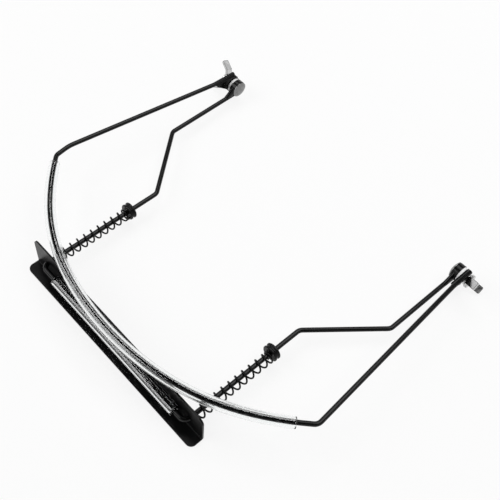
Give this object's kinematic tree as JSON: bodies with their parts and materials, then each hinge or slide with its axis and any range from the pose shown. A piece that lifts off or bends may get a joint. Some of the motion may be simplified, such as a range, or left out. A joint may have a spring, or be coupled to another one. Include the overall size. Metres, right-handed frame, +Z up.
{
  "type": "harmonica holder",
  "caption": "Neck-worn harmonica holder folded flat: bent wire yoke and arm frame on wing-nut pivots, with a sprung sliding jaw bracket and soft clear tubes.",
  "frame": {"origin": "middle of the underside of the jaw bracket's foot, on the surface that the folded holder rests on", "axes": "+Z up from the resting surface; +X from the left pivot to the right pivot; -Y towards the clamp's front, so the pivots are at +Y"},
  "size_m": [0.2573, 0.2141, 0.033],
  "materials": {
    "black_enamel": "glossy black enamel on steel rod",
    "black_sheet": "satin black enamel on steel sheet",
    "black_wire": "black coated spring wire",
    "black_collar": "black enamel",
    "clear_tube": "clear flexible tube",
    "bright_steel": "nickel plated steel, slightly dulled",
    "white_washer": "white nylon"
  },
  "bodies": {
    "arm_frame": {"arm_frame": "black_enamel", "crossbar_tube": "clear_tube", "left_spring": "black_wire", "right_spring": "black_wire", "left_stop_collar": "black_collar", "right_stop_collar": "black_collar", "left_pivot_bolt": "bright_steel", "right_pivot_bolt": "bright_steel", "left_friction_washer": "white_washer", "right_friction_washer": "white_washer"},
    "neck_yoke": {"neck_yoke": "black_enamel", "neck_tube": "clear_tube"},
    "jaw_bracket": {"jaw_bracket": "black_sheet"},
    "left_wing_nut": {"left_wing_nut": "bright_steel"},
    "right_wing_nut": {"right_wing_nut": "bright_steel"}
  },
  "joints": [
    {"name": "yoke_hinge", "type": "hinge", "parent": "arm_frame", "child": "neck_yoke", "pos_m": [0, 0.20046, 0.01161], "axis": [-1, 0, 0], "range_deg": [0, 340]},
    {"name": "jaw_slide", "type": "slide", "parent": "arm_frame", "child": "jaw_bracket", "axis": [0, 0.9998, -0.0194], "range_m": [0, 0.04], "stiffness_N_per_m": 200, "springref_m": -0.02, "deforming": ["left_spring", "right_spring"]},
    {"name": "left_nut_turn", "type": "hinge", "parent": "arm_frame", "child": "left_wing_nut", "pos_m": [-0.1184, 0.20046, 0.01161], "axis": [-1, 0, 0], "range_deg": [0, 360]},
    {"name": "right_nut_turn", "type": "hinge", "parent": "arm_frame", "child": "right_wing_nut", "pos_m": [0.1162, 0.20046, 0.01161], "axis": [1, 0, 0], "range_deg": [0, 360]}
  ]
}
